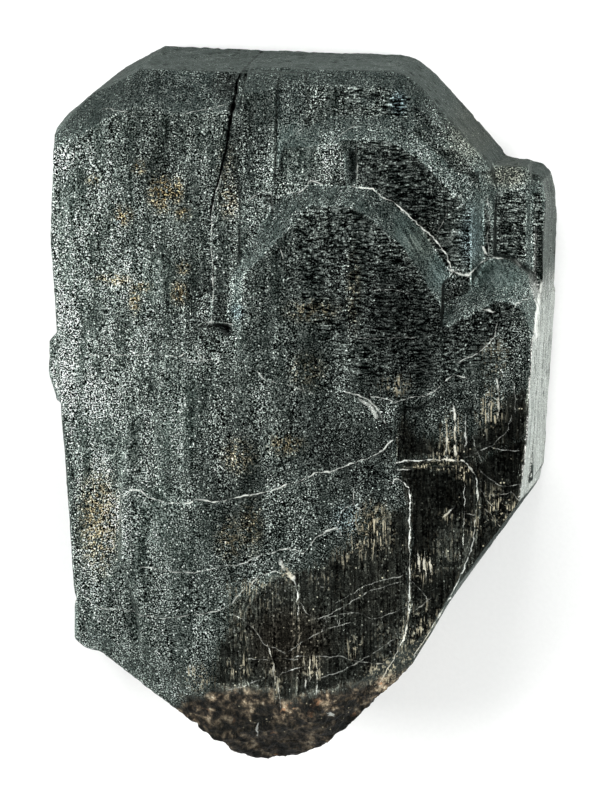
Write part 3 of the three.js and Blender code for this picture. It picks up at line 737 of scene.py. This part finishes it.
def paint(mesh, solid):
    """Stores what the finish needs to know of each point: its region, its stains and its veins."""
    p = points_of(mesh)
    facing = face_directions(p, solid)
    zone = regions(p, facing)
    normals = normals_of(mesh)
    proud = roundness(mesh, p, normals, CLOSE_ROUNDING)
    front = zone["front"]

    polished = patches(SMOOTH_SLOPES, p) * zone["sloping"]
    grainy = (1 - zone["fresh"]) * (1 - zone["crust"]) * (1 - 0.3 * zone["sloping"])
    grainy *= (1 - 0.7 * zone["side"]) * (1 - 0.85 * polished) * (1 - 0.35 * zone["outer"])
    store(mesh, "face_kind", [grainy, zone["rippled"], zone["fresh"]])
    store(mesh, "face_slope", [zone["sloping"], zone["side"], zone["crust"]])
    warmth = patches(WARM_PATCHES, p) - patches(COOL_PATCHES, p)
    store(mesh, "face_hue", [zone["outer"], polished, warmth])

    rust = patches(RUST_PATCHES, p) * np.maximum(front, zone["crust"])
    pale = patches(PALE_PATCHES, p) * np.maximum(front, np.maximum(zone["fresh"], zone["crust"]))
    pale *= 0.3 + 0.7 * smooth(14, 34, p[:, 2])  # they thin out down the sides
    # painted highlight along the rubbed edges, and painted shade in the hollows below
    worn_edge_highlight = smooth(0.03, 0.25, proud)
    glints = patches(GLINT_PATCHES, p) - patches(CALM_PATCHES, p)
    glints *= smooth(-0.2, 0.4, facing[:, 2])
    store(mesh, "stain", [rust, pale, glints])

    # painted shade for the rims of the terraces and the sharp bends of the skin
    rim_shade = np.maximum(1 - smooth(0.88, 0.98, np.minimum(facing[:, 2], normals[:, 2])),
                     smooth(0.03, 0.12, np.abs(proud)))
    tone_and_shade = brightness(p, rim_shade, front, zone)
    hollow_shade = smooth(0.05, 0.5, -proud)
    lined = np.clip(0.7 * zone["fresh"] + zone["side"] + 0.4 * zone["outer"] + 0.25 * front, 0, 1)
    store(mesh, "tone_and_shade", [tone_and_shade, worn_edge_highlight - hollow_shade, lined])

    upright = smooth(0.15, 0.4, facing[:, 2])
    upright = np.maximum(upright, smooth(50, 53, p[:, 0]) * smooth(28, 34, p[:, 2]))
    for number, family in enumerate(vein_families()):
        store(mesh, f"vein_{number}", nearest_line(family, p, upright))
    store(mesh, "crack", nearest_line(CRACKS, p, np.ones(len(p))))


def nearest_line(lines, p, shown):
    """For each point: its signed distance to the nearest of some lines, and how strong and how
    wide that line is there."""
    nearest = np.full(len(p), 1e9)
    signed = np.full(len(p), 9.0)
    strength = np.zeros(len(p))
    width = np.full(len(p), 0.3)
    for power, wide, route in lines:
        distance, past = edge_distance(route, p)
        nearer = np.abs(distance) < nearest
        fade = (1 - smooth(*LINE_REACH, np.abs(distance))) * (1 - smooth(0.0, 1.0, past))
        nearest = np.where(nearer, np.abs(distance), nearest)
        signed = np.where(nearer, distance, signed)
        strength = np.where(nearer, power * fade, strength)
        width = np.where(nearer, wide, width)
    return [signed, strength * shown, width]


def vein_families():
    """The veins sorted into families, so that no two in a family come near each other."""
    families = []
    for vein in VEINS:
        for family in families:
            if all(clearance(vein[2], other[2]) > VEIN_CLEARANCE for other in family):
                family.append(vein)
                break
        else:
            families.append([vein])
    return families


def clearance(route, other):
    """The smallest distance between two routes."""
    stops = []
    for a, b in zip(route, route[1:]):
        for share in np.linspace(0, 1, 9):
            stops.append((a[0] + (b[0] - a[0]) * share, a[1] + (b[1] - a[1]) * share, 0))
    signed, _ = edge_distance(other, np.array(stops, float))
    return np.abs(signed).min()


def brightness(p, rim_shade, front, zone):
    """How bright the faces are: brighter at the left, with painted light and shade in fields and
    painted shade on the outer faces, the ledges, the rims of the terraces and down the crust.
    """
    x, y = p[:, 0], p[:, 1]
    left = 1 - smooth(-56, -16, x)
    tone_and_shade = 1 + front * (0.52 * left - 0.28 * smooth(-10, 12, x))
    # painted shade: the outer faces, and the sloping faces near the finished end, are darkened
    tone_and_shade *= 1 - np.maximum(0.6 * zone["outer"], 0.5 * zone["sloping"] * smooth(62, 70, y))
    tone_and_shade *= (1 - 0.10 * front) * (1 + 0.15 * layered(p, (9, 22, 14), SEED_TONE))
    # painted shade on the ledges low in the sides
    tone_and_shade *= 1 - 0.55 * zone["ledge"]
    above = smooth(15, 30, p[:, 2])
    # fields of the crystal's own lightness and of painted light and shade
    tone_and_shade *= blended(TONE_AND_SHADE_FIELDS, p) ** (above * (1 - zone["sloping"]))
    tone_and_shade *= blended(SLOPE_TONE_AND_SHADE_FIELDS, p) ** (above * zone["sloping"])
    tone_and_shade = tone_and_shade * (1 + zone["fresh"] * (1.12 * zone["gloss"] - 1))
    # painted shade darkens the narrow rims of the terraces, where they would mirror the lamps
    rim_shade = rim_shade * np.maximum(zone["fresh"], smooth(24, 27, x))
    tone_and_shade *= 1 - 0.88 * rim_shade * (1 - smooth(0, 8, y)) * above * (1 - zone["side"])
    # painted shade: the crust is palest along its upper edge and darkens towards its foot
    return tone_and_shade * (1 - zone["crust"]) + (1.0 - 0.76 * zone["foot"]) * zone["crust"]


# ---- The crystal's finish ----

LEAST_GLITTER = 0.03  # the darkest spots between grains keep this much
MOST_BRIGHT = 0.75  # no spot reflects more than this share
GLITTER_POWER = 2.2  # how steeply brightness grows with glitter
# The foot's crust, from its darkest hollows to its cream crumbs.
CRUST_STOPS = [
    (0.38, (0.003, 0.002, 0.0015, 1)), (0.47, (0.022, 0.017, 0.012, 1)),
    (0.54, (0.085, 0.064, 0.042, 1)), (0.63, (0.25, 0.20, 0.135, 1)),
    (0.74, (0.62, 0.58, 0.46, 1)),
]
BEVEL_ANGLE = math.radians(58)  # turns the long way of the middle plate's right bevel onto X


class Finish:
    """A material's nodes, added and joined one at a time."""

    def __init__(self, name):
        self.material = bpy.data.materials.new(name)
        self.material.use_nodes = True
        self.tree = self.material.node_tree
        self.shader = self.tree.nodes["Principled BSDF"]

    def add(self, kind, inputs=(), output=0, **settings):
        """One node. Its inputs are values or other nodes' outputs, by name or number."""
        node = self.tree.nodes.new(kind)
        for key, value in settings.items():
            setattr(node, key, value)
        for key, value in dict(inputs).items():
            self.join(value, node.inputs[key])
        return node.outputs[output]

    def join(self, value, socket):
        if isinstance(value, bpy.types.NodeSocket):
            self.tree.links.new(value, socket)
        else:
            socket.default_value = value

    def math(self, operation, a, b=0.0, c=0.0):
        """One sum, product or other operation. c is added after a times b."""
        inputs = {0: a, 1: b}
        if operation == "MULTIPLY_ADD":
            inputs[2] = c
        return self.add("ShaderNodeMath", inputs, operation=operation)

    def most(self, a, b):
        """The larger of two values."""
        return self.math("MAXIMUM", a, b)

    def without(self, value):
        """1 less the value."""
        return self.math("SUBTRACT", 1.0, value)

    def times(self, *values):
        result = values[0]
        for value in values[1:]:
            result = self.math("MULTIPLY", result, value)
        return result

    def plus(self, *values):
        result = values[0]
        for value in values[1:]:
            result = self.math("ADD", result, value)
        return result

    def total(self, *products):
        """The sum of some products. A plain number stands for itself."""
        parts = (self.times(*part) if isinstance(part, tuple) else part for part in products)
        return self.plus(*parts)

    def ramp(self, value, low, high, to_low=0.0, to_high=1.0):
        """The value from low to high as an even curve from to_low to to_high."""
        inputs = {
            "Value": value, "From Min": low, "From Max": high, "To Min": to_low, "To Max": to_high,
        }
        return self.add("ShaderNodeMapRange", inputs, interpolation_type="SMOOTHSTEP")

    def mix(self, share, a, b):
        """A blend of two colours."""
        return self.add("ShaderNodeMix", {0: share, 6: a, 7: b}, 2, data_type="RGBA")

    def scaled(self, colour, factor):
        """A colour made brighter or darker."""
        return self.add("ShaderNodeVectorMath", {0: colour, "Scale": factor}, operation="SCALE")

    def place_in_mm(self):
        """Where each point is, in millimetres."""
        place = self.add("ShaderNodeTexCoord", output="Object")
        return self.drawn_out(place, (1 / MM, 1 / MM, 1 / MM))

    def stored(self, name):
        """The three numbers that the mesh keeps under a name."""
        vector = self.add("ShaderNodeAttribute", output="Vector", attribute_name=name)
        split = self.tree.nodes.new("ShaderNodeSeparateXYZ")
        self.join(vector, split.inputs[0])
        return tuple(split.outputs)

    def drawn_out(self, place, scale):
        """Places scaled by a different factor along each axis."""
        return self.add("ShaderNodeVectorMath", {0: place, 1: scale}, operation="MULTIPLY")

    def noise(self, place, scale, detail=2.0, roughness=0.5, bend=0.0):
        """Noise with its middle at 0.5. A scale of three numbers draws it out along an axis."""
        if isinstance(scale, tuple):
            place, scale = self.drawn_out(place, scale), 1.0
        inputs = {
            "Vector": place, "Scale": scale, "Detail": detail, "Roughness": roughness,
            "Distortion": bend,
        }
        return self.add("ShaderNodeTexNoise", inputs)

    def centred(self, pattern):
        """A pattern from 0 to 1 moved so that its middle is at 0."""
        return self.math("SUBTRACT", pattern, 0.5)

    def centred_noise(self, place, scale, detail, roughness=0.6, bend=0.0):
        return self.centred(self.noise(place, scale, detail, roughness, bend))


def rgba(colour):
    return (*colour, 1.0)


def crack_shade(finish, place):
    """Near 0 in an open crack and 1 beside it."""
    sway = finish.centred_noise(place, 0.6, 3)
    distance, strength, width = finish.stored("crack")
    off = finish.math("ABSOLUTE", finish.plus(sway, distance))
    core = finish.math("DIVIDE", off, width)
    line = finish.times(finish.ramp(core, 1.0, 0.5), strength)
    return finish.without(finish.times(line, 0.97))


def vein_lines(finish, place):
    """How much calcite shows: thin uneven lines where the stored distance to a vein is small."""
    sway = finish.centred_noise(place, 0.5, 3, 0.55)
    uneven = finish.ramp(finish.noise(place, 0.45, 3, 0.65), 0.36, 0.62, 0.2, 0.85)
    total = None
    for number in range(len(vein_families())):
        distance, strength, width = finish.stored(f"vein_{number}")
        off = finish.math("ABSOLUTE", finish.math("MULTIPLY_ADD", sway, 1.2, distance))
        core = finish.math("DIVIDE", off, finish.times(width, uneven))
        line = finish.times(finish.ramp(core, 0.85, 0.25), strength, uneven)
        total = line if total is None else finish.most(total, line)
    return total


def tantalite(settings):
    """The finish of the whole crystal, which changes from region to region."""
    finish = Finish("tantalite")
    place = finish.place_in_mm()
    grainy, rippled, fresh = finish.stored("face_kind")
    sloping, side, crust = finish.stored("face_slope")
    rust, pale, glints = finish.stored("stain")
    # lightness with its painted light and shade; painted highlight on rubbed edges less painted
    # shade in hollows; how lined the faces are
    tone_and_shade, worn_edge_highlight, lined = finish.stored("tone_and_shade")
    outer, polished, warmth = finish.stored("face_hue")

    # patterns, most of them drawn out along the crystal
    grains = finish.centred_noise(place, 3.5, 0.5, bend=0.3)
    clumps = finish.centred_noise(place, 0.50, 3)
    bands = finish.centred_noise(place, (0.5, 0.06, 0.3), 2)
    lines = finish.centred_noise(place, (1.9, 0.10, 0.9), 3)
    dashes = finish.centred_noise(place, (2.4, 1.3, 1.2), 1)
    fields = finish.centred_noise(place, (0.34, 0.07, 0.2), 3)
    along = finish.add(
        "ShaderNodeVectorRotate", {"Vector": place, "Angle": BEVEL_ANGLE}, rotation_type="Z_AXIS"
    )
    striae = finish.centred_noise(along, (0.12, 1.6, 0.5), 2)
    waves = finish.centred_noise(place, (0.62, 2.2, 0.7), 1, bend=0.5)
    streaks = finish.noise(place, (2.4, 0.20, 1.0), 2, 0.6)
    specks = finish.noise(place, 1.1, 3, 0.65)
    folds = finish.math("ABSOLUTE", finish.centred_noise(place, 0.7, 2, bend=0.8))
    wrinkles = finish.ramp(folds, 0.022, 0.0)
    scatter = finish.add("ShaderNodeTexVoronoi", {"Vector": place, "Scale": 0.95}, feature="F1")
    sparks = finish.ramp(scatter, 0.24, 0.12)

    # the edges of the glossy breaks are drawn out in streaks
    ragged = finish.total(
        fresh, (finish.centred(streaks), 1.3), (finish.centred(specks), 0.9)
    )
    fresh = finish.ramp(ragged, 0.34, 0.74)
    grainy = finish.times(grainy, finish.ramp(fresh, 0.0, 1.0, 1.0, 0.35))

    # how brightly each spot glitters: the grains' own lightness with painted glints and painted
    # pit shadows, and the painted highlight on rubbed edges less the painted shade in the hollows
    coarse = finish.math("MULTIPLY_ADD", glints, 0.9, 1.0)
    rougher = finish.ramp(fields, -0.13, 0.13, 0.5, 1.55)
    spread = finish.plus(finish.times(grainy, coarse, rougher, 7.4), 1.8)
    # painted pit shadows: dark specks standing in for the shade in small pits
    pits = finish.times(
        finish.ramp(specks, 0.42, 0.34), finish.ramp(bands, -0.06, 0.08), finish.without(rippled)
    )
    evened = finish.math("MULTIPLY_ADD", rippled, -0.3, 1.0)
    fibrous = finish.plus(finish.times(lined, 2.4), 0.5)
    glitter = finish.total(
        (grains, spread, evened),
        (pits, grainy, -1.4),
        (clumps, grainy, evened, 1.1),
        (bands, grainy, 2.0),
        (lines, fibrous),
        (dashes, fresh, finish.ramp(fields, -0.10, 0.14, 0.4, 4.0)),
        (sparks, fresh, 1.5),
        (striae, polished, 2.6),
        (waves, rippled, 8.0),
        (wrinkles, finish.math("MULTIPLY_ADD", glints, 1.2, 0.35), grainy),
        (sparks, finish.math("MULTIPLY_ADD", glints, 1.4, 2.3), grainy),
        (worn_edge_highlight, 0.25),
        (glints, -0.1),
        1.0,
    )
    shine = finish.math("POWER", finish.most(glitter, LEAST_GLITTER), GLITTER_POWER)

    # colour of the clean crystal, greyer at the painted glints, with the stain in its grains
    colour = finish.mix(sloping, rgba(settings.weathered_colour), rgba(settings.bevel_colour))
    for share, tint in (
        (finish.ramp(shine, 0.8, 3.5, 0.0, 0.85), settings.glint_colour),
        (finish.ramp(warmth, 0.0, 1.0, 0.0, 0.8), settings.warm_colour),
        (finish.ramp(warmth, 0.0, -1.0, 0.0, 0.8), settings.cool_colour),
        (finish.times(finish.ramp(specks, 0.44, 0.56), rust), settings.rust_colour),
    ):
        colour = finish.mix(share, colour, rgba(tint))
    break_colour = finish.mix(
        finish.ramp(warmth, 0.0, 1.0), rgba(settings.fresh_colour), rgba(settings.brown_colour)
    )
    colour = finish.mix(fresh, colour, break_colour)
    # the right side face, silvery with painted reflection
    colour = finish.mix(side, colour, rgba(settings.side_reflection_colour))
    # the painted glints and the lightness with its painted light and shade scale the colour
    colour = finish.scaled(colour, finish.times(shine, tone_and_shade))

    # the foot's crust
    foot = crust_colours(finish, place, rust, settings)
    colour = finish.mix(crust, colour, finish.scaled(foot, tone_and_shade))

    # calcite in veins, blots and streaks
    streak = finish.ramp(streaks, 0.53, 0.60)
    blot = finish.times(finish.ramp(specks, 0.60, 0.66), 0.8)
    faint = finish.most(pale, finish.times(fresh, 0.04))
    dots = finish.times(sparks, fresh, finish.ramp(clumps, 0.06, 0.16), 0.8)
    patchy = finish.most(finish.times(streak, finish.ramp(clumps, -0.08, 0.06)), blot)
    pale_share = finish.most(finish.times(patchy, faint), dots)
    colour = finish.mix(pale_share, colour, rgba(settings.streak_colour))
    veins = vein_lines(finish, place)
    calcite = finish.mix(
        finish.times(pale, 0.8), rgba(settings.calcite_colour), rgba(settings.cream_colour)
    )
    colour = finish.mix(veins, colour, calcite)
    chalky = finish.most(veins, pale_share)
    colour = finish.scaled(colour, crack_shade(finish, place))
    limit = {0: colour, 1: (MOST_BRIGHT, MOST_BRIGHT, MOST_BRIGHT)}
    bright = finish.add("ShaderNodeVectorMath", limit, operation="MINIMUM")
    finish.join(bright, finish.shader.inputs["Base Color"])

    # gloss
    rough = finish.total(
        0.34,
        (grainy, 0.16),
        (fresh, -0.06),
        (crust, 0.35),
        (outer, 0.22),
        (finish.math("ABSOLUTE", worn_edge_highlight), fresh, 0.3),
        (polished, -0.06),
        (chalky, 0.2),
        (clumps, 0.25),
        (grains, outer, 0.45),
    )
    finish.join(finish.most(rough, 0.1), finish.shader.inputs["Roughness"])
    lustre = finish.times(finish.without(chalky), finish.without(crust))
    finish.join(lustre, finish.shader.inputs["Metallic"])
    finish.shader.inputs["IOR"].default_value = 1.45
    finish.shader.inputs["Specular IOR Level"].default_value = 0.15
    finish.shader.inputs["Specular Tint"].default_value = (0.91, 1.0, 0.965, 1.0)

    # fine relief, in millimetres
    crumbs = finish.noise(place, 1.3, 4, 0.65)
    height = finish.total(
        (grains, grainy, coarse, 0.18),
        (waves, rippled, 0.25),
        (dashes, fresh, 0.08),
        (lines, lined, 0.08),
        (wrinkles, grainy, 0.06),
        (crumbs, crust, 0.9),
        (clumps, 0.10),
        (veins, 0.05),
    )
    bump = finish.add("ShaderNodeBump", {"Height": height, "Distance": MM, "Strength": 1.0})
    finish.join(bump, finish.shader.inputs["Normal"])
    return finish.material


def crust_colours(finish, place, rust, settings):
    """Brown-black with tan and cream crumbs and a little orange."""
    tall = finish.drawn_out(place, (1, 0.85, 0.5))
    lumps = finish.noise(tall, 0.22, 3, 0.6)
    crumbs = finish.noise(tall, 0.6, 5, 0.64)
    other = finish.plus(finish.noise(tall, 0.27, 2, 0.5), finish.times(rust, 0.16))
    ramp = finish.tree.nodes.new("ShaderNodeValToRGB")
    finish.join(crumbs, ramp.inputs[0])
    stops = ramp.color_ramp.elements
    (stops[0].position, stops[0].color), *middle, (stops[1].position, stops[1].color) = CRUST_STOPS
    for position, colour in middle:
        stops.new(position).color = colour
    orange = finish.times(finish.ramp(other, 0.65, 0.71), finish.ramp(crumbs, 0.44, 0.58))
    colour = finish.mix(orange, ramp.outputs[0], rgba(settings.crumb_colour))
    return finish.scaled(colour, finish.ramp(lumps, 0.38, 0.62, 0.12, 2.1))


# ---- The stage ----

FLOOR_REACH = 3.0  # from the middle of the floor to its edge, in metres
FLOOR_GAP = 0.05  # the floor is just clear of the resting face
AIM = (2.3, 4.7)  # the point of the front that the camera looks at


def floor_finish(colour):
    """Plain pale card with a faint tooth."""
    finish = Finish("pale_card")
    place = finish.add("ShaderNodeTexCoord", output="Object")
    tooth = finish.noise(place, 900, 2)
    shade = finish.ramp(tooth, 0.3, 0.7, 0.985, 1.0)
    finish.join(finish.scaled(colour, shade), finish.shader.inputs["Base Color"])
    finish.shader.inputs["Roughness"].default_value = 0.9
    bump = finish.add("ShaderNodeBump", {"Height": tooth, "Distance": 0.05 * MM, "Strength": 0.5})
    finish.join(bump, finish.shader.inputs["Normal"])
    return finish.material


def add_floor(colour):
    mesh = bpy.data.meshes.new("floor")
    corners = [(x * FLOOR_REACH, y * FLOOR_REACH, -FLOOR_GAP * MM)
               for x, y in ((-1, -1), (1, -1), (1, 1), (-1, 1))]
    mesh.from_pydata(corners, [], [(0, 1, 2, 3)])
    floor = bpy.data.objects.new("floor", mesh)
    bpy.context.scene.collection.objects.link(floor)
    mesh.materials.append(floor_finish(colour))


def add_light(name, place, wide, high, power):
    """A soft box, turned towards the crystal. Its place and its size are in metres."""
    light = bpy.data.lights.new(name, "AREA")
    light.shape = "RECTANGLE"
    light.size = wide
    light.size_y = high
    light.energy = power
    obj = bpy.data.objects.new(name, light)
    bpy.context.scene.collection.objects.link(obj)
    obj.location = place
    aim = Vector((0, 0, 0.5 * HEIGHT * MM)) - Vector(place)
    obj.rotation_euler = aim.to_track_quat("-Z", "Y").to_euler()


def add_sky():
    """White walls all round and a darker ceiling."""
    world = bpy.data.worlds.new("room")
    bpy.context.scene.world = world
    world.use_nodes = True
    tree = world.node_tree
    background = tree.nodes["Background"]
    coordinates = tree.nodes.new("ShaderNodeTexCoord")
    split = tree.nodes.new("ShaderNodeSeparateXYZ")
    ramp = tree.nodes.new("ShaderNodeValToRGB")
    tree.links.new(coordinates.outputs["Generated"], split.inputs[0])
    tree.links.new(split.outputs[2], ramp.inputs[0])
    tree.links.new(ramp.outputs[0], background.inputs[0])
    ramp.color_ramp.elements[0].position = 0.40
    ramp.color_ramp.elements[0].color = (0.93, 0.97, 0.97, 1)
    ramp.color_ramp.elements[1].position = 0.85
    ramp.color_ramp.elements[1].color = (0.05, 0.052, 0.052, 1)
    background.inputs[1].default_value = 1.0


def add_camera(settings):
    """Looks down on the crystal's front, from a little to the right and towards its end."""
    data = bpy.data.cameras.new("camera")
    data.lens = settings.lens
    data.sensor_width = 36
    data.clip_end = 20
    camera = bpy.data.objects.new("camera", data)
    bpy.context.scene.collection.objects.link(camera)
    back = Vector((math.tan(settings.lean_right), math.tan(settings.lean_up), 1)).normalized()
    target = Vector((AIM[0] * MM, AIM[1] * MM, BOX_HIGH.z))
    right = Vector((0, 1, 0)).cross(back).normalized()
    turn = Matrix((right, back.cross(right), back)).transposed().to_4x4()
    turn.translation = target + back * settings.distance
    camera.matrix_world = turn
    bpy.context.scene.camera = camera


# ---- Operators and panel ----


class SPECIMEN_OT_crystal(bpy.types.Operator):
    """Builds the crystal's surface from its solid and gives it its finish"""

    bl_idname = "specimen.crystal"
    bl_label = "Crystal"

    def execute(self, context):
        settings = context.scene.specimen_crystal
        mesh, solid = crystal_mesh(settings)
        paint(mesh, solid)
        mesh.materials.clear()
        mesh.materials.append(tantalite(settings))
        crystal = bpy.data.objects.new("crystal_surface", mesh)
        context.scene.collection.objects.link(crystal)
        bpy.data.meshes.remove(solid)
        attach(crystal, BODY)
        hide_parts(NODE)
        return {"FINISHED"}


class SPECIMEN_OT_stage(bpy.types.Operator):
    """Sets up the floor, the soft lights and the camera"""

    bl_idname = "specimen.stage"
    bl_label = "Stage"

    def execute(self, context):
        settings = context.scene.specimen_stage
        add_floor(settings.floor_colour)
        add_light("left_light", (-0.75, 0.10, 0.60), 0.6, 0.5, settings.left_power)
        add_light("right_light", (0.75, -0.15, 0.60), 0.5, 0.5, settings.right_power)
        add_light("end_light", (-0.10, 0.85, 0.60), 0.6, 0.4, settings.end_power)
        add_sky()
        add_camera(settings)
        context.scene.view_settings.view_transform = "Standard"
        return {"FINISHED"}


class SPECIMEN_PT_panel(bpy.types.Panel):
    """Lists the specimen's operators"""

    bl_idname = "SPECIMEN_PT_panel"
    bl_label = "Tantalite Specimen"
    bl_space_type = "VIEW_3D"
    bl_region_type = "UI"
    bl_category = "Specimen"

    def draw(self, context):
        self.layout.operator(SPECIMEN_OT_crystal.bl_idname)
        self.layout.operator(SPECIMEN_OT_stage.bl_idname)


CLASSES = (
    CrystalSettings, StageSettings, SPECIMEN_OT_crystal, SPECIMEN_OT_stage, SPECIMEN_PT_panel,
)


def register():
    for cls in CLASSES:
        bpy.utils.register_class(cls)
    bpy.types.Scene.specimen_crystal = PointerProperty(type=CrystalSettings)
    bpy.types.Scene.specimen_stage = PointerProperty(type=StageSettings)


def unregister():
    del bpy.types.Scene.specimen_stage
    del bpy.types.Scene.specimen_crystal
    for cls in reversed(CLASSES):
        bpy.utils.unregister_class(cls)


def main():
    register()
    bpy.ops.specimen.crystal()
    bpy.ops.specimen.stage()


if __name__ == "__main__":
    main()
